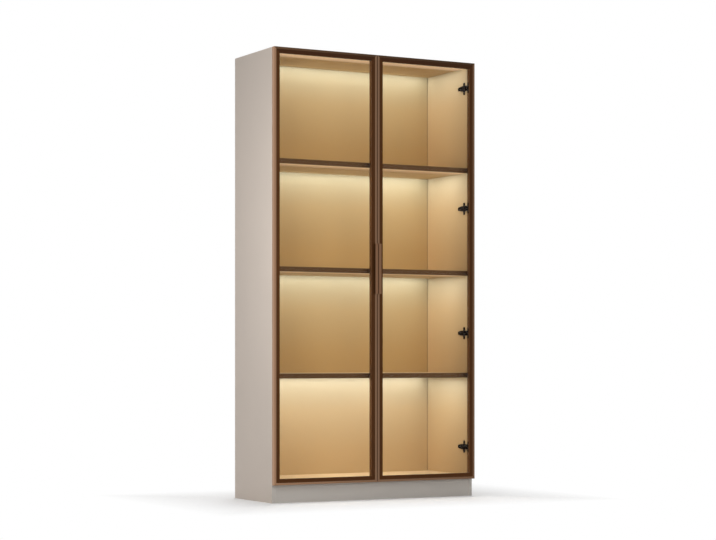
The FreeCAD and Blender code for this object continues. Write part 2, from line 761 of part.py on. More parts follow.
def hinge_arm():
    """Cranked arm: knuckle in the cup, goose neck round the panel's edge, and a channel over the
    plate that narrows behind it."""
    owner = body("hinge_arm")
    pivot = ("pivotIn", "-pivotDeep")
    low = "-pivotDeep - knuckleRadius"
    start = "doorGap + armFoot"
    end = "doorGap + armLong"
    knuckle = sketch(owner, "knuckle_circle", "XY_Plane")
    circle(knuckle, pivot[0], pivot[1], "knuckleRadius")
    pad(owner, "knuckle", knuckle, "neckHigh", both=True)
    neck = sketch(owner, "neck_lines", "XY_Plane")
    crook = low + " + barThick"
    polygon(neck, [("pivotIn", low), ("neckRight", low), ("neckRight", start), ("neckLeft", start),
                   ("neckLeft", crook), ("pivotIn", crook)])
    pad(owner, "neck", neck, "neckHigh", both=True)
    fillet(owner, "neck_bend_outside", "neckRound", [("neckRight", low)])
    fillet(owner, "neck_bend_inside", "neckBend", [("neckLeft", crook)])
    arm = sketch(owner, "arm_lines", "XY_Plane")
    crown = "board + armProud"
    sole = "board + armFoot"
    polygon(arm, [("neckLeft", start + " - armLap"), ("neckRight", start + " - armLap"),
                  (crown, start + " + armShoulder"),
                  (crown, end + " - armShoulder"), (crown + " - armWall", end),
                  (sole + " + armWall * 2", end), (sole, end + " - armShoulder * 2"),
                  (sole, start + " + armShoulder / 2")])
    pad(owner, "arm", arm, "armHigh", both=True)
    taper = sketch(owner, "arm_taper_lines", "YZ_Plane", crown)
    narrowing = "doorGap + plateCentre + plateWide / 2"
    for side in ("", "-"):
        outside = side + "(armHigh / 2 + armLap)"
        polygon(taper, [(narrowing, side + "armHigh / 2"), (end, side + "armTail / 2"), (end, outside),
                        (narrowing, outside)])
    pocket(owner, "arm_tapers", taper)
    channel = sketch(owner, "arm_channel_lines", "XY_Plane")
    rectangle(channel, "board", start + " + armShoulder", crown + " - armWall", end + " - armShoulder")
    pocket(owner, "arm_channel", channel, "armTail - 2 * armWall", both=True)
    spot = sketch(owner, "knuckle_spot", "XY_Plane")
    circle(spot, pivot[0], pivot[1], "hingePinRadius + pinClear")
    pocket(owner, "knuckle_bore", spot, "neckHigh * 2", both=True)
    screws = sketch(owner, "arm_screw_spots", "YZ_Plane", crown)
    for y in ARM_SCREWS:
        circle(screws, "doorGap + " + y, 0, "armScrewRadius + screwPlay")
    pocket(owner, "arm_screw_bores", screws, "armWall + armLap")
    return owner


def mounting_plate():
    """Wing plate on the side panel with the spine that the arm straddles."""
    owner = body("mounting_plate")
    wings = sketch(owner, "plate_wing_lines", "YZ_Plane", "board")
    left = "doorGap + plateCentre - plateWide / 2"
    right = "doorGap + plateCentre + plateWide / 2"
    bevel = "plateWide / 4"
    polygon(wings, [(left + " + " + bevel, "-plateHigh / 2"), (right + " - " + bevel, "-plateHigh / 2"),
                    (right, "-plateHigh / 2 + " + bevel), (right, "plateHigh / 2 - " + bevel),
                    (right + " - " + bevel, "plateHigh / 2"), (left + " + " + bevel, "plateHigh / 2"),
                    (left, "plateHigh / 2 - " + bevel), (left, "-plateHigh / 2 + " + bevel)])
    pad(owner, "plate_wings", wings, "plateThick")
    spine = sketch(owner, "plate_spine_lines", "YZ_Plane", "board")
    rectangle(spine, "doorGap + plateCentre - spineLong / 2", "-spineHigh / 2",
              "doorGap + plateCentre + spineLong / 2", "spineHigh / 2")
    pad(owner, "plate_spine", spine, "spineProud")
    screws = sketch(owner, "plate_screw_spots", "YZ_Plane", "board + plateThick")
    for side in ("-", ""):
        circle(screws, "doorGap + plateCentre", side + "plateScrewSpan / 2", "plateScrewRadius + screwPlay")
    pocket(owner, "plate_screw_bores", screws, "plateThick")
    spots = sketch(owner, "spine_screw_spots", "YZ_Plane", "board + spineProud")
    for y in ARM_SCREWS:
        circle(spots, "doorGap + " + y, 0, "armScrewRadius + screwPlay")
    pocket(owner, "spine_screw_bores", spots, "armScrewLong - armWall - fitGap")
    return owner


def screw(label, shank, shank_long, head, head_high, turn):
    """Round-head screw: its head's underside at the origin, the shank along -Z before the turn."""
    owner = body(label)
    side = sketch(owner, label + "_side", "XZ_Plane")
    rim = head_high + " / 2"
    point = "-(%s)" % shank_long
    shank_lines = [(0, point), (shank, point), (shank, 0)]
    polygon(side, shank_lines + [(head, 0), (head, rim), (head + " * 3 / 4", head_high), (0, head_high)])
    made = owner.newObject("PartDesign::Revolution", label + "_turned")
    made.Profile = side
    made.ReferenceAxis = (side, ["V_Axis"])
    owner.Placement.Rotation = turn
    return owner


def at_hinges(label, thing, spots, x, y):
    """Copies of a hinge piece at every hinge, once for each Z offset in spots."""
    pieces = []
    for hinge in HINGES:
        for index, z in enumerate(spots):
            name = "%s_%s_%d" % (label, hinge, index)
            piece = copy(thing, name, x, y, hinge + " + " + z)
            pieces.append(piece)
    return pieces


def both_sides(label, pieces):
    """One group of left-hand pieces and their mirror images on the right."""
    left = group(label + "_left", pieces)
    return group(label, [left, mirror(label + "_right", left)])


CUP_SCREWS = ["-cupScrewSpan / 2", "cupScrewSpan / 2"]
PLATE_SCREWS = ["-plateScrewSpan / 2", "plateScrewSpan / 2"]
cup = hinge_cup()
arm = hinge_arm()
plate = mounting_plate()
plate_screw = screw("plate_screw", "plateScrewRadius", "plateThick + plateScrewDeep - fitGap",
                    "plateScrewRadius + plateScrewRim", "plateScrewHead", QUARTER)
arm_screw = screw("arm_screw", "armScrewRadius", "armScrewLong - fitGap", "armScrewRadius + armScrewRim",
                  "armScrewHead", QUARTER)
cup_screw = screw("cup_screw", "cupScrewRadius", "cupScrewLong", "cupScrewRadius + cupScrewRim",
                  "cupScrewHead", BACKWARD)
node(both_sides("hinge_arms", at_hinges("arm", arm, ["0"], "outerSide", "doorBack")))
node(both_sides("hinge_mounting_plates", at_hinges("plate", plate, ["0"], "outerSide", "doorBack")))
screws = at_hinges("plate_screw", plate_screw, PLATE_SCREWS, "outerSide + board + plateThick",
                   "carcassFront + plateCentre")
node(both_sides("mounting_plate_screws", screws))
screws = []
for y in ARM_SCREWS:
    screws += at_hinges("arm_screw", arm_screw, ["0"], "outerSide + board + armProud", "carcassFront + " + y)
node(both_sides("hinge_arm_screws", screws))


# ---------------------------------------------------------------- doors
def pull():
    """Slim C-shaped pull: foot on the stile, web at the meeting edge, lip pointing away from it."""
    owner = body("left_door_pull")
    section = sketch(owner, "pull_section", "XY_Plane")
    behind_lip = "-(pullReach - pullWall)"
    polygon(section, [(0, 0), ("-pullFoot", 0), ("-pullFoot", "-pullWall"), ("-pullWall", "-pullWall"),
                      ("-pullWall", behind_lip), ("-pullLip", behind_lip), ("-pullLip", "-pullReach"),
                      (0, "-pullReach")])
    pad(owner, "pull_profile", section, "pullLong")
    edges = [("-pullLip", "-pullReach"), ("-pullLip", behind_lip), (0, "-pullReach")]
    fillet(owner, "pull_edges", "pullRound", edges)
    screws = sketch(owner, "pull_foot_spots", "XZ_Plane")
    for side in ("-", "+"):
        height = "pullLong / 2 " + side + " pullScrewSpan / 2"
        circle(screws, "-rimWide / 2", height, "pullScrewRadius + screwPlay")
    pocket(owner, "pull_foot_bores", screws, "pullWall", turned=True)
    return place(owner, "outerSide + doorWide", "doorFront", "pullCentre - pullLong / 2")


def left_door():
    """Every piece of the left door, ready to be mirrored for the right one."""
    high_edge = "overallHeight"
    inner_edge = "outerSide + doorWide"
    pieces = [hinge_stile(), meeting_stile()]
    pieces.append(rail("left_door_top_rail", QUARTER, "outerSide", high_edge))
    pieces.append(rail("left_door_bottom_rail", THREE_QUARTERS, inner_edge, "plinthHigh"))
    pane_inset = "frameWide - grooveDeep + gasketThick"
    pieces.append(door_block("left_door_glass", pane_inset, "grooveFront + gasketThick", "glassThick"))
    whole = door_block("gasket_whole", "frameWide - grooveDeep", "grooveFront", "grooveWide")
    sight = door_block("gasket_sight", "frameWide", "grooveFront", "grooveWide")
    pane = door_block("gasket_pane", pane_inset, "grooveFront + gasketThick", "glassThick")
    pieces.append(cut("left_door_gasket", whole, [sight, pane]))
    pieces.append(corner_keys())
    pieces.append(group("left_door_hinge_cups", at_hinges("cup", cup, ["0"], "outerSide", "doorBack")))
    pin = rod("hinge_pin", "hingePinRadius - screwPlay / 2", "cupHigh - 2 * fitGap", TURN_NONE)
    pins = at_hinges("pin", pin, ["fitGap - cupHigh / 2"], "outerSide + pivotIn", "doorBack - pivotDeep")
    pieces.append(group("left_door_hinge_pins", pins))
    screws = at_hinges("cup_screw", cup_screw, CUP_SCREWS, "outerSide + " + CUP_MIDDLE, "doorBack")
    pieces.append(group("left_door_cup_screws", screws))
    pieces.append(pull())
    shank = "doorThick - pullHeadDeep + pullWall - fitGap"
    pull_screw = screw("pull_screw", "pullScrewRadius", shank, "pullHeadRadius", "pullHeadDeep - fitGap",
                       BACKWARD)
    screws = []
    x = inner_edge + " - rimWide / 2"
    for name, side in (("low", "-"), ("high", "+")):
        height = "pullCentre " + side + " pullScrewSpan / 2"
        screws.append(copy(pull_screw, "pull_screw_" + name, x, "doorBack - pullHeadDeep", height))
    pieces.append(group("left_door_pull_screws", screws))
    bumper = rod("bumper", "bumperRadius", "doorGap - bumperPlay", BACKWARD)
    bumpers = []
    x = inner_edge + " - frameWide / 2"
    for name, height in (("low", "plinthHigh + board / 2"), ("high", "ceiling + board / 2")):
        bumpers.append(copy(bumper, "bumper_" + name, x, "doorBack", height))
    pieces.append(group("left_door_bumpers", bumpers))
    return pieces


for piece in left_door():
    node(piece)
    node(mirror(piece.Label.replace("left_door", "right_door"), piece))

# ---------------------------------------------------------------- checks and export
doc.removeObject("reckoner")
doc.recompute()
for thing in doc.Objects:
    if "Invalid" in thing.State or "Error" in thing.State:
        raise ValueError(thing.Label + " did not build: " + str(thing.State))
for piece in nodes:
    shape = Part.getShape(piece)
    if shape.isNull() or not shape.isValid() or not shape.Solids:
        raise ValueError(piece.Label + " has no valid shape")
for piece in nodes:
    Part.getShape(piece).exportStep("parts/" + piece.Label + ".step")
print(len(nodes), "nodes")
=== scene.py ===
import math

import bpy
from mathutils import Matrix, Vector


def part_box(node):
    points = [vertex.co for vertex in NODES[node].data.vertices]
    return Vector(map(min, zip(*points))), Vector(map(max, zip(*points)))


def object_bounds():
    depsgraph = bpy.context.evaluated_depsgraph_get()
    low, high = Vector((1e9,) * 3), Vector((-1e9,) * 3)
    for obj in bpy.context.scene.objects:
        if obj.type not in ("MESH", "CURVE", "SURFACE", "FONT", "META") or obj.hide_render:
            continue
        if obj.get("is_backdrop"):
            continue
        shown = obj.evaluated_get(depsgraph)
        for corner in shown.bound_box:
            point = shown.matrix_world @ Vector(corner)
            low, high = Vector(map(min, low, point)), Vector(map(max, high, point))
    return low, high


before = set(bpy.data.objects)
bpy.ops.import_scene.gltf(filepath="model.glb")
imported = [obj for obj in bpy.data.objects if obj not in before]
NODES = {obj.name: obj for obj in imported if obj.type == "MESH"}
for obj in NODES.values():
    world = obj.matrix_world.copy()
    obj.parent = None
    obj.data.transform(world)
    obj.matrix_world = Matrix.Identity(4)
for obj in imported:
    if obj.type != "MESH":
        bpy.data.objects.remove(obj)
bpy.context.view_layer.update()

# Tall bookcase with two glass doors: finishes, camera, floor and lamps.
# Metres.  X runs to the right, Y to the back, Z up, in the frame of the solids.

MM = 0.001


# ---------------------------------------------------------------- shader helpers
class Amount:
    """A number that varies over a surface; arithmetic on it adds Math nodes to its finish."""

    def __init__(self, finish, socket):
        self.finish = finish
        self.socket = socket

    def reckon(self, operation, *values, **settings):
        settings["operation"] = operation
        inputs = dict(enumerate(values))
        return Amount(self.finish, self.finish.node("ShaderNodeMath", settings, inputs).outputs[0])

    def __add__(self, other):
        return self.reckon("ADD", self, other)

    __radd__ = __add__

    def __sub__(self, other):
        return self.reckon("SUBTRACT", self, other)

    def __rsub__(self, other):
        return self.reckon("SUBTRACT", other, self)

    def __mul__(self, other):
        return self.reckon("MULTIPLY", self, other)

    __rmul__ = __mul__

    def __truediv__(self, other):
        return self.reckon("DIVIDE", self, other)

    def __pow__(self, other):
        return self.reckon("POWER", self, other)

    def __abs__(self):
        return self.reckon("ABSOLUTE", self)

    def wave(self):
        """The cosine of this number, in radians."""
        return self.reckon("COSINE", self)

    def most(self, other):
        """The larger of the two."""
        return self.reckon("MAXIMUM", self, other)

    def step(self, low, high):
        """0 below low, 1 above high, with a straight ramp between them."""
        inputs = {"Value": self, "From Min": low, "From Max": high}
        return Amount(self.finish, self.finish.node("ShaderNodeMapRange", {"clamp": True}, inputs).outputs[0])


class Finish:
    """One procedural material: a Principled shader and the nodes that vary it."""

    def __init__(self, name, **constants):
        self.material = bpy.data.materials.new(name)
        self.material.use_nodes = True
        self.tree = self.material.node_tree
        self.tree.nodes.clear()
        self.output = self.node("ShaderNodeOutputMaterial")
        inputs = {word.replace("_", " "): value for word, value in constants.items()}
        self.shader = self.node("ShaderNodeBsdfPrincipled", inputs=inputs)
        self.show(self.shader)
        coordinates = self.node("ShaderNodeTexCoord").outputs
        self.place = coordinates["Object"]
        self.facing = coordinates["Normal"]

    def node(self, kind, settings=None, inputs=None):
        """A node of any kind: its settings first, then the values or links of its sockets."""
        made = self.tree.nodes.new(kind)
        for name, value in (settings or {}).items():
            setattr(made, name, value)
        for key, value in (inputs or {}).items():
            self.feed(made.inputs[key], value)
        return made

    def feed(self, socket, value):
        """Link a varying value into a socket, or set a constant one on it."""
        if isinstance(value, Amount):
            value = value.socket
        if isinstance(value, bpy.types.NodeSocket):
            self.tree.links.new(value, socket)
        else:
            socket.default_value = value

    def vary(self, **inputs):
        """Feed the shader's own sockets; an underscore in a name stands for a space."""
        for word, value in inputs.items():
            self.feed(self.shader.inputs[word.replace("_", " ")], value)

    def show(self, shader):
        self.tree.links.new(shader.outputs[0], self.output.inputs["Surface"])

    def parts(self, vector):
        """The three numbers of a vector."""
        outputs = self.node("ShaderNodeSeparateXYZ", inputs={0: vector}).outputs
        return [Amount(self, part) for part in outputs]

    def across(self):
        """The three coordinates of a surface point, in metres."""
        return self.parts(self.place)

    def stretched(self, stretch):
        """The surface point with each coordinate multiplied."""
        made = self.node("ShaderNodeVectorMath", {"operation": "MULTIPLY"}, {0: self.place, 1: stretch})
        return made.outputs[0]

    def noise(self, per_metre, detail=2.0, roughness=0.5):
        """Soft noise from 0 to 1, with its own frequency along each axis, in waves per metre."""
        inputs = {"Vector": self.stretched(per_metre), "Scale": 1.0, "Detail": detail, "Roughness": roughness}
        return Amount(self, self.node("ShaderNodeTexNoise", inputs=inputs).outputs[0])

    def mix(self, factor, first, second):
        """A blend of two colours."""
        inputs = {0: factor, 6: first, 7: second}
        made = self.node("ShaderNodeMix", {"data_type": "RGBA", "clamp_factor": True}, inputs)
        return made.outputs[2]

    def bump(self, height, depth):
        """A normal that follows a height from 0 to 1, of this depth in metres."""
        inputs = {"Height": height, "Distance": depth, "Strength": 1.0}
        return self.node("ShaderNodeBump", inputs=inputs).outputs[0]


def tint(red, green, blue):
    """A colour given in the display's 0 to 255 steps, made linear: the standard curve of the display."""
    steps = (value / 255 for value in (red, green, blue))
    return tuple(s / 12.92 if s <= 0.04045 else ((s + 0.055) / 1.055) ** 2.4 for s in steps) + (1.0,)


def shaded(colour, by):
    """The same colour, lighter or darker."""
    return tuple(min(1.0, value * by) for value in colour[:3]) + (1.0,)


def dress(finish, *names):
    """Give whole nodes a finish."""
    for name in names:
        for slot in NODES[name].material_slots:
            slot.material = finish.material


# ---------------------------------------------------------------- finishes
BLACK = (0, 0, 0, 1)
WHITE = (1, 1, 1, 1)
GREIGE = tint(206, 193, 181)
PLINTH_GREIGE = tint(178, 172, 165)
# The lacquer inside the bays, from the ceiling of a bay, at 0, to its floor, at 1: painted light, a falloff
# that darkens and warms towards the floor of each bay as the light of its line fades.
INSIDE_PAINTED_FALLOFF = [
    (0, tint(196, 187, 153)),
    (0.1, tint(199, 185, 147)),
    (0.35, tint(208, 180, 129)),
    (0.8, tint(211, 174, 113)),
]
# Painted shade: the undersides of the shelves and the top panel are darker than the walls below them.
UNDERSIDE_PAINTED_SHADE = tint(179, 148, 99)
SHELF_TOP = tint(208, 183, 142)
BRONZE = tint(146, 113, 88)
TRIM_BRONZE = tint(97, 71, 47)
CHANNEL_BRONZE = tint(128, 98, 74)
# Painted shade: the top rails take a darker copy of the frame bronze, for the darker light their fronts
# reflect from above.
TOP_RAIL_SHADED_BRONZE = tint(92, 68, 50)
PULL_BRONZE = tint(124, 92, 69)
DARK_BRONZE = tint(72, 42, 18)
# Painted shade: a darker copy of the flange colour, for the top rails.
DARK_TOP_RAIL_SHADED = tint(62, 36, 18)
# Painted light on the bronze of the frames: how light it is from the left end of the front to the right end,
# lightest on the left door's outer side and darker to the right, as the light falls from the left.
BRONZE_PAINTED_LIGHT = [(-0.516, 1.5), (-0.5145, 1.15), (0, 0.75), (0.516, 0.6)]
# How squarely a face must look one way to count: the ramp of that part of its normal.
SQUARE_ON = (0.6, 0.8)
SKIN = 0.5 * MM
EDGE = 0.1 * MM
RIM_WIDE = 10 * MM
DIODE_SPACING = 16.7 * MM
# Painted light: a glow in the undersides' emission that stands in for the light a light line throws on them:
# its colour, how far behind the line, how far.
PAINTED_WASH = (0.30, 0.22, 0.16, 1)
WASH_BEHIND = 25 * MM
WASH_REACH = 62 * MM
# Shares of black in the lacquer inside the bays. The front, lowest-bay front, back, lowest-bay side and
# corner shares are painted shade; the cloud and shelf-top shares darken at random.
FRONT_SHADE = 0.5
LOWEST_FRONT_SHADE = 0.35
BACK_SHADE = 0.26
LOWEST_SIDE_SHADE = 0.16
CORNER_SHADE = 0.22
CLOUD_SHADE = 0.06
SHELF_TOP_SHADE = 0.08
# Shares of greige in the lacquer inside the bays: painted light that makes the side walls and the lowest bay
# paler.
SIDE_PAINTED_LIGHT = 0.16
LOWEST_PAINTED_LIGHT = 0.14
SHELVES = ["upper", "middle", "lower"]
LIGHTS = ["top"] + SHELVES
DOORS = ["left_door", "right_door"]


def lacquered_board(name, colour, inside=None):
    """Matt lacquer over board: faint clouds of colour, a fine orange-peel bump, uneven sheen.
    Inside the bays the lacquer carries painted light and shade, and the light lines' painted glow washes over
    the undersides."""
    finish = Finish(name, IOR=1.45)
    clouds = finish.noise((5, 5, 3), 3)
    specks = finish.noise((900, 900, 900), 2)
    peel = finish.noise((420, 420, 420), 3, 0.6)
    shade = (clouds * 0.7 + specks * 0.3).step(0.2, 0.8)
    tone = finish.mix(shade, shaded(colour, 0.965), shaded(colour, 1.03))
    if inside:
        within = inside_bays(finish)
        facing = finish.parts(finish.facing)
        down = (0 - facing[2]).step(*SQUARE_ON)
        up = facing[2].step(*SQUARE_ON)
        beside = abs(facing[0]).step(*SQUARE_ON)
        lowest = lowest_bay(finish)
        # Painted light: the side walls and the lowest bay are made paler.
        painted_light = (beside * SIDE_PAINTED_LIGHT).most(lowest * LOWEST_PAINTED_LIGHT)
        # Painted light: the colour falls off from each bay's ceiling to its floor.
        warm = finish.mix(painted_light, graded(finish, depth_in_bay(finish), inside), GREIGE)
        # Painted shade: darker on the back panel, on the lowest bay's side walls, low down towards the front
        # and in the back corners; the clouds darken at random.
        painted_shade = (1 - beside) * BACK_SHADE + beside * lowest * LOWEST_SIDE_SHADE + (1 - shade) * CLOUD_SHADE
        painted_shade = painted_shade + front_shade(finish) + corner_shade(finish)
        # Painted shade on the undersides.
        warm = finish.mix(down, finish.mix(painted_shade, warm, BLACK), UNDERSIDE_PAINTED_SHADE)
        warm = finish.mix(up, warm, finish.mix(shade * SHELF_TOP_SHADE, SHELF_TOP, BLACK))
        tone = finish.mix(within, tone, warm)
        tone = finish.mix(plinth_ends(finish, facing[1]), tone, PLINTH_GREIGE)
        # Painted light: the undersides glow near the light lines, in their emission.
        glow = within * down * painted_line_glow(finish)
        finish.vary(Emission_Color=finish.mix(glow, BLACK, PAINTED_WASH), Emission_Strength=1.0)
    finish.vary(Base_Color=tone, Roughness=0.46 + 0.12 * clouds, Normal=finish.bump(peel, 0.06 * MM))
    return finish


def inside_bays(finish):
    """1 on the faces that bound the bays, 0 on the outside of the carcass."""
    x, y, z = finish.across()
    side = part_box("right_side_panel")[0].x
    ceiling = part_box("top_panel")[0].z
    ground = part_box("bottom_panel")[1].z
    across = (side + SKIN - abs(x)).step(0, EDGE)
    below = (ceiling + SKIN - z).step(0, EDGE)
    above = (z - ground + SKIN).step(0, EDGE)
    ahead = (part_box("back_panel")[0].y + SKIN - y).step(0, EDGE)
    return across * below * above * ahead


def depth_in_bay(finish):
    """0 at the ceiling of each bay and 1 at its floor: the ramps of the bays, less those of the shelves."""
    z = finish.across()[2]
    above = ["top_panel"] + [name + "_shelf_board" for name in SHELVES]
    below = [name + "_shelf_board" for name in SHELVES] + ["bottom_panel"]
    bays = [z.step(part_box(high)[0].z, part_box(low)[1].z) for high, low in zip(above, below)]
    boards = [z.step(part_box(name)[1].z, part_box(name)[0].z) for name in below[:-1]]
    return sum(bays[1:], bays[0]) - sum(boards[1:], boards[0])


def lowest_bay(finish):
    """1 in the bay between the lower shelf and the bottom panel."""
    return (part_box("lower_shelf_board")[0].z - finish.across()[2]).step(0, 1 * MM)


def front_shade(finish):
    """Painted shade: how much darker the inside gets low down and towards the front, less so in the lowest
    bay.
    """
    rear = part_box("back_panel")[0].y
    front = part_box("upper_shelf_trim")[0].y
    most = FRONT_SHADE - (FRONT_SHADE - LOWEST_FRONT_SHADE) * lowest_bay(finish)
    return most * depth_in_bay(finish) * finish.across()[1].step(rear, front)


def corner_shade(finish):
    """Painted shade: a thin darker line in the corners where the back panel meets the sides."""
    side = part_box("right_side_panel")[0].x
    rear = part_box("back_panel")[0].y
    x, y = finish.across()[:2]
    joint = abs(x).step(side - 5 * MM, side - 3 * MM) * y.step(rear - 8 * MM, rear)
    return CORNER_SHADE * joint


def plinth_ends(finish, backwards):
    """1 on the front edges of the sides below the doors, beside the plinth."""
    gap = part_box("left_door_bottom_rail")[0].z
    return (0 - backwards).step(*SQUARE_ON) * (gap - finish.across()[2]).step(-2 * MM, 0)


def graded(finish, amount, stops):
    """A colour that runs through the stops, each a number and its colour, as the amount grows."""
    tone = stops[0][1]
    for (low, _), (high, colour) in zip(stops, stops[1:]):
        tone = finish.mix(amount.step(low, high), tone, colour)
    return tone


def painted_line_glow(finish):
    """Painted light: a glow that stands in for the light each line throws on the underside round it: a smooth
    hill over the depth, half as strong under the shelves as under the top."""
    low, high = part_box("top_light_diffuser")
    middle = (low.y + high.y) / 2 + WASH_BEHIND
    y, z = finish.across()[1:]
    hill = 1 - ((y - middle) / WASH_REACH) ** 2
    top = (z - low.z).step(-20 * MM, -10 * MM)
    return hill.most(0) * (0.5 + 0.5 * top)


def brushed_metal(name, colour, along, dark=None, smooth=0.26):
    """Anodised aluminium brushed along one axis: fine hairs and broad streaks drawn out along it.
    A dark colour makes it a door's frame: that colour on the flange inside the rim, and on the rim bronze
    with painted light that gets deeper from left to right."""
    finish = Finish(name, Metallic=1.0, Specular_IOR_Level=0.1)
    fine = [2600, 2600, 2600]
    broad = [60, 60, 60]
    fine["XYZ".index(along)] = 14
    broad["XYZ".index(along)] = 3
    hair = finish.noise(fine, 3, 0.65)
    streak = finish.noise(broad, 2)
    shade = (hair * 0.6 + streak * 0.4).step(0.25, 0.75)
    if dark:
        # Painted light: the rim's bronze is lightest at the left end and darker to the right.
        stops = [(x, shaded(colour, by)) for x, by in BRONZE_PAINTED_LIGHT]
        tone = graded(finish, finish.across()[0], stops)
        tone = finish.mix(0.12 - 0.12 * shade, tone, BLACK)
        deep = finish.mix(shade, shaded(dark, 0.85), shaded(dark, 1.15))
        ahead = (0 - finish.parts(finish.facing)[1]).step(0.5, 0.9)
        flange = inside_rim(finish) * ahead
        tone = finish.mix(flange, tone, deep)
        finish.vary(Metallic=1 - 0.6 * flange)
    else:
        tone = finish.mix(shade, shaded(colour, 0.88), shaded(colour, 1.08))
    finish.vary(Base_Color=tone, Roughness=smooth + 0.2 * hair, Normal=finish.bump(hair, 0.02 * MM))
    return finish


def inside_rim(finish):
    """1 on what lies inside a door's rim, 0 on the rim: the distance from the door's middle,
    sideways and upwards, against half the door less the rim, and behind the rim's front."""
    low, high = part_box("left_door_hinge_stile")
    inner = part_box("left_door_meeting_stile")[1]
    x, y, z = finish.across()
    half_wide = (inner.x - low.x) / 2 - RIM_WIDE
    half_high = (high.z - low.z) / 2 - RIM_WIDE
    sideways = abs(abs(x) + (low.x + inner.x) / 2)
    upwards = abs(z - (high.z + low.z) / 2)
    soft = 0.2 * MM
    inside = (half_wide - sideways).step(0, soft) * (half_high - upwards).step(0, soft)
    return inside * (y - low.y).step(0.5 * MM, 0.8 * MM)


def door_glass():
    """Clear pane with a slight warm tint; the gloss grows towards a flat angle."""
    finish = Finish("door_glass", Base_Color=WHITE, Metallic=1.0, Roughness=0.02)
    gloss = Amount(finish, finish.node("ShaderNodeFresnel", inputs={"IOR": 1.5}).outputs[0])
    smear = finish.noise((9, 9, 4), 3)
    see_through(finish, gloss * (0.08 + 0.06 * smear), (0.985, 0.975, 0.955, 1))
    return finish


def see_through(finish, factor, colour):
    """Let the surface be clear, in a colour, as far as the factor leaves it."""
    clear = finish.node("ShaderNodeBsdfTransparent", inputs={"Color": colour})
    inputs = {0: factor, 1: clear.outputs[0], 2: finish.shader.outputs[0]}
    finish.show(finish.node("ShaderNodeMixShader", inputs=inputs))


def diodes(finish):
    """1 at each diode of a light line and 0 half-way between them: a cosine along the line."""
    return 0.5 + 0.5 * (finish.across()[0] * (2 * math.pi / DIODE_SPACING)).wave()


def light_diffuser(name, strength):
    """Frosted strip with a soft hot spot over each diode."""
    finish = Finish(name, Base_Color=tint(240, 225, 205), Roughness=0.6, Emission_Strength=strength)
    spot = diodes(finish)
    finish.vary(Emission_Color=finish.mix(spot, (0.86, 0.56, 0.33, 1), (1.0, 0.68, 0.42, 1)))
    return finish


def light_tape():
    """White tape with a small glowing diode at even spacing."""
    finish = Finish("light_tape", Roughness=0.5, Emission_Strength=4.0)
    chip = diodes(finish).step(0.90, 0.94)
    finish.vary(
        Base_Color=finish.mix(chip, tint(232, 228, 220), tint(250, 205, 90)),
        Emission_Color=finish.mix(chip, BLACK, (1.0, 0.72, 0.42, 1)),
    )
    return finish


def blackened_steel(name, colour, roughness):
    """Black oxide over stamped or cast steel, rubbed a little lighter in clouds."""
    finish = Finish(name, Specular_IOR_Level=0.05)
    clouds = finish.noise((160, 160, 160), 4)
    grain = finish.noise((3000, 3000, 3000), 2)
    finish.vary(
        Base_Color=finish.mix(clouds.step(0.35, 0.75), colour, shaded(colour, 1.7)),
        Roughness=roughness + 0.15 * grain,
        Normal=finish.bump(grain, 0.03 * MM),
    )
    return finish


def soft_rubber(name, colour, roughness):
    """Soft seal with a dusty, slightly uneven surface."""
    finish = Finish(name, IOR=1.45)
    dust = finish.noise((300, 300, 300), 4, 0.6)
    finish.vary(
        Base_Color=finish.mix(dust.step(0.3, 0.8), colour, shaded(colour, 1.4)),
        Roughness=roughness + 0.2 * dust,
        Normal=finish.bump(dust, 0.05 * MM),
    )
    return finish


def moulded_plastic():
    """Black moulded housing with a fine spark-eroded texture."""
    finish = Finish("driver_plastic", IOR=1.46)
    grain = finish.noise((1400, 1400, 1400), 2)
    finish.vary(
        Base_Color=finish.mix(grain.step(0.3, 0.7), tint(30, 30, 31), tint(44, 44, 45)),
        Roughness=0.5 + 0.2 * grain,
        Normal=finish.bump(grain, 0.06 * MM),
    )
    return finish


def beech_wood():
    """Turned beech with flecks along the dowel."""
    finish = Finish("beech_wood", IOR=1.45)
    fleck = finish.noise((60, 900, 900), 4)
    finish.vary(
        Base_Color=finish.mix(fleck.step(0.3, 0.7), tint(196, 152, 106), tint(222, 184, 140)),
        Roughness=0.55 + 0.2 * fleck,
        Normal=finish.bump(fleck, 0.1 * MM),
    )
    return finish


def clear_bumper():
    """Clear soft bumper dot."""
    finish = Finish("clear_bumper", Base_Color=tint(236, 236, 230), Roughness=0.25, IOR=1.5)
    haze = finish.noise((500, 500, 500), 3)
    see_through(finish, 0.35 + 0.3 * haze, WHITE)
    return finish


def named(starts, *ends):
    """Every name that joins one of the starts to one of the ends."""
    return [start + "_" + end for start in starts for end in ends]


carcass = ["left_side_panel", "right_side_panel", "top_panel", "bottom_panel", "rear_plinth", "back_panel"]
dress(lacquered_board("carcass_board", GREIGE, INSIDE_PAINTED_FALLOFF), *carcass, *named(SHELVES, "shelf_board"))
dress(lacquered_board("plinth_board", PLINTH_GREIGE), "front_plinth")
dress(brushed_metal("trim_bronze", TRIM_BRONZE, "X", smooth=0.45), *named(SHELVES, "shelf_trim"))
dress(brushed_metal("channel_bronze", CHANNEL_BRONZE, "X"), *named(LIGHTS, "light_channel"))
dress(light_diffuser("ceiling_diffuser", 2.2), "top_light_diffuser")
dress(light_diffuser("shelf_diffuser", 0.45), *named(SHELVES, "light_diffuser"))
dress(light_tape(), *named(LIGHTS, "light_tape"))
dress(brushed_metal("stile_bronze", BRONZE, "Z", DARK_BRONZE), *named(DOORS, "hinge_stile", "meeting_stile"))
dress(brushed_metal("rail_bronze", BRONZE, "X", DARK_BRONZE), *named(DOORS, "bottom_rail"))
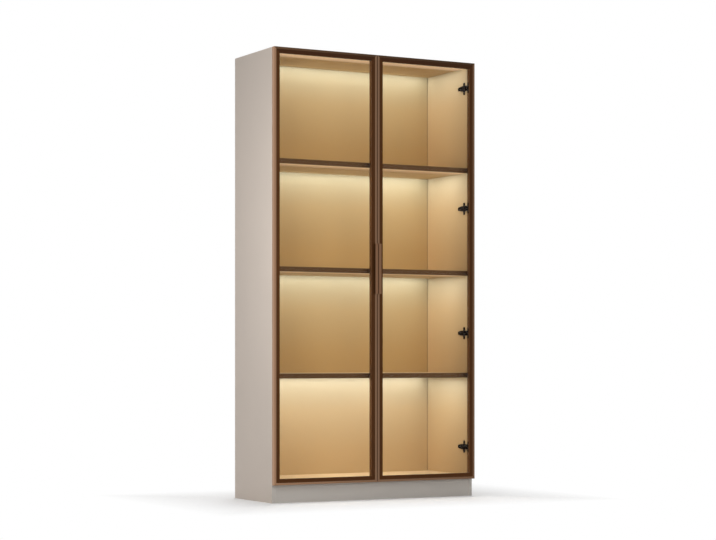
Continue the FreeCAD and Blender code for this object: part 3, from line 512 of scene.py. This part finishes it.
# Painted shade: the top rails wear darker copies of the frame bronze and flange colours.
dress(brushed_metal("top_rail_painted_shade_bronze", TOP_RAIL_SHADED_BRONZE, "X", DARK_TOP_RAIL_SHADED), *named(DOORS, "top_rail"))
dress(brushed_metal("pull_bronze", PULL_BRONZE, "Z"), *named(DOORS, "pull"))
dress(door_glass(), *named(DOORS, "glass"))
dress(soft_rubber("seal_rubber", tint(112, 80, 54), 0.6), *named(DOORS, "gasket"))
hinge_black = blackened_steel("hinge_black", tint(12, 6, 4), 0.55)
dress(hinge_black, "hinge_arms", "hinge_mounting_plates", *named(DOORS, "hinge_cups"))
screw_black = blackened_steel("screw_black", tint(34, 28, 23), 0.4)
dress(screw_black, "mounting_plate_screws", "hinge_arm_screws", *named(DOORS, "cup_screws"))
plain_steel = brushed_metal("plain_steel", tint(176, 176, 172), "Z")
dress(plain_steel, "shelf_pins", *named(DOORS, "hinge_pins", "pull_screws"))
dress(brushed_metal("key_aluminium", tint(188, 188, 186), "Z"), *named(DOORS, "corner_keys"))
dress(clear_bumper(), *named(DOORS, "bumpers"))
dress(moulded_plastic(), "light_driver")
dress(beech_wood(), "carcass_dowels")


# ---------------------------------------------------------------- camera
PICTURE = (716, 540)
FOCAL_PIXELS = 1927
HORIZON_ROW = 358.77
CAMERA_TURN = math.radians(28.72)
CAMERA_PLACE = (-4.240, -7.7535, 0.634)

camera = bpy.data.cameras.new("camera")
camera.sensor_width = 36
camera.lens = camera.sensor_width * FOCAL_PIXELS / PICTURE[0]
camera.shift_y = (HORIZON_ROW - PICTURE[1] / 2) / PICTURE[0]
camera.clip_end = 60
viewer = bpy.data.objects.new("camera", camera)
viewer.location = CAMERA_PLACE
viewer.rotation_euler = (math.pi / 2, 0, -CAMERA_TURN)
bpy.context.scene.collection.objects.link(viewer)
bpy.context.scene.camera = viewer


# ---------------------------------------------------------------- floor and surroundings
# How far outside the object's box the floor begins to fade, and where it has faded.
FLOOR_FADE = (-0.05, 0.5)
FLOOR_REACH = 20.0


def pale_floor():
    """White floor that keeps a shadow near the object and fades into the plain background."""
    finish = Finish("pale_floor", Base_Color=(0.93, 0.93, 0.93, 1), Roughness=0.7, Specular_IOR_Level=0.1)
    x, y = finish.across()[:2]
    half_wide, half_deep = (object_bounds()[1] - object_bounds()[0]).xy / 2
    away = (abs(x) - half_wide).most(abs(y) - half_deep)
    far = away.step(*FLOOR_FADE)
    glow = finish.node("ShaderNodeEmission", inputs={"Color": WHITE, "Strength": 1.0})
    rays = finish.node("ShaderNodeLightPath")
    seen = Amount(finish, rays.outputs["Is Camera Ray"]).most(Amount(finish, rays.outputs["Is Glossy Ray"]))
    inputs = {0: far * seen, 1: finish.shader.outputs[0], 2: glow.outputs[0]}
    finish.show(finish.node("ShaderNodeMixShader", inputs=inputs))
    return finish


def floor():
    """A flat square sheet under the object."""
    turns = [(-1, -1), (1, -1), (1, 1), (-1, 1)]
    mesh = bpy.data.meshes.new("studio_floor")
    mesh.from_pydata([(x * FLOOR_REACH, y * FLOOR_REACH, 0) for x, y in turns], [], [(0, 1, 2, 3)])
    mesh.materials.append(pale_floor().material)
    made = bpy.data.objects.new("studio_floor", mesh)
    bpy.context.scene.collection.objects.link(made)
    made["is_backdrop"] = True


def surroundings(light, background):
    """Even light on the object, and a plain background for what the camera and gloss see."""
    world = bpy.data.worlds.new("studio")
    bpy.context.scene.world = world
    world.use_nodes = True
    tree = world.node_tree
    tree.nodes.clear()
    output = tree.nodes.new("ShaderNodeOutputWorld")
    rays = tree.nodes.new("ShaderNodeLightPath")
    even = tree.nodes.new("ShaderNodeBackground")
    even.inputs["Strength"].default_value = light
    plain = tree.nodes.new("ShaderNodeBackground")
    plain.inputs["Strength"].default_value = background
    for shader in (even, plain):
        shader.inputs["Color"].default_value = WHITE
    largest = rays.outputs["Is Camera Ray"]
    for kind in ("Is Glossy Ray", "Is Transmission Ray"):
        most = tree.nodes.new("ShaderNodeMath")
        most.operation = "MAXIMUM"
        tree.links.new(largest, most.inputs[0])
        tree.links.new(rays.outputs[kind], most.inputs[1])
        largest = most.outputs[0]
    blend = tree.nodes.new("ShaderNodeMixShader")
    tree.links.new(largest, blend.inputs[0])
    tree.links.new(even.outputs[0], blend.inputs[1])
    tree.links.new(plain.outputs[0], blend.inputs[2])
    tree.links.new(blend.outputs[0], output.inputs["Surface"])


def lamp(name, place, toward, size, brightness):
    """A soft rectangular lamp; brightness is its radiance, so that a white surface close to it shows it."""
    light = bpy.data.lights.new(name, "AREA")
    light.shape = "RECTANGLE"
    light.size, light.size_y = size
    light.energy = brightness * math.pi * size[0] * size[1]
    made = bpy.data.objects.new(name, light)
    made.location = place
    made.rotation_euler = (Vector(toward) - Vector(place)).to_track_quat("-Z", "Y").to_euler()
    made.visible_camera = False
    made.visible_glossy = False
    made.visible_transmission = False
    bpy.context.scene.collection.objects.link(made)


# The light of each line, top bay first: near the back panel, over the whole depth, and in the right corner.
BAY_LEVELS = [(1.29, 1.25, 0), (1.25, 1.26, 5.0), (1.26, 1.22, 2.5), (1.48, 2.5, 0)]
LINE_LONG = 0.94
REAR_LEVEL = 1.5
BROAD_LEVEL = 1.6
LEAN_LEVEL = 7.2


def bay_lamps():
    """The light of each light line: one lamp near the back panel, one over the whole depth, one that
    leans at the top of the back panel, and in two bays one that leans into the right corner."""
    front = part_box("upper_shelf_trim")[0].y
    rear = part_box("back_panel")[0].y
    ceilings = ["top_panel"] + named(SHELVES, "shelf_board")
    for name, (near, whole, corner) in zip(ceilings, BAY_LEVELS):
        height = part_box(name)[0].z - 1 * MM
        downward = {
            "rear": (rear - 0.07, 0.1, REAR_LEVEL * near),
            "broad": ((front + rear) / 2, 0.3, BROAD_LEVEL * whole),
        }
        for spot, (y, deep, brightness) in downward.items():
            lamp(name + "_" + spot + "_lamp", (0, y, height), (0, y, 0), (LINE_LONG, deep), brightness)
        if corner:
            place, aim = (0.34, rear - 0.16, height), (0.48, rear, height - 0.25)
            lamp(name + "_right_lamp", place, aim, (0.26, 0.06), corner)
        place, aim = (0, rear - 0.05, height - 0.005), (0, rear, height - 0.055)
        lamp(name + "_lean_lamp", place, aim, (LINE_LONG, 0.012), LEAN_LEVEL * near)


floor()
surroundings(0.25, 1.0)
# Where each lamp of the studio stands, where it points, its size and its brightness.
STUDIO_LAMPS = {
    "left_strip": ((-1.35, -1.05, 1.25), (-0.516, -0.05, 1.25), (0.5, 0.7), 11.6),
    "left_soft": ((-3.2, -1.6, 1.4), (-0.3, 0.0, 1.0), (2.0, 2.0), 0.4),
    "front_soft": ((-1.2, -4.0, 1.6), (0.0, 0.0, 1.0), (2.0, 1.5), 4.7),
    "rear_soft": ((1.9, 3.4, 1.6), (0.2, 0.2, 1.0), (2.0, 1.6), 7.5),
    "top_soft": ((0.75, 0.95, 4.4), (0.2, 0.2, 2.0), (2.2, 1.6), 2.8),
}
for name, (place, toward, size, brightness) in STUDIO_LAMPS.items():
    lamp(name, place, toward, size, brightness)
bay_lamps()

bpy.context.scene.view_settings.view_transform = "Standard"
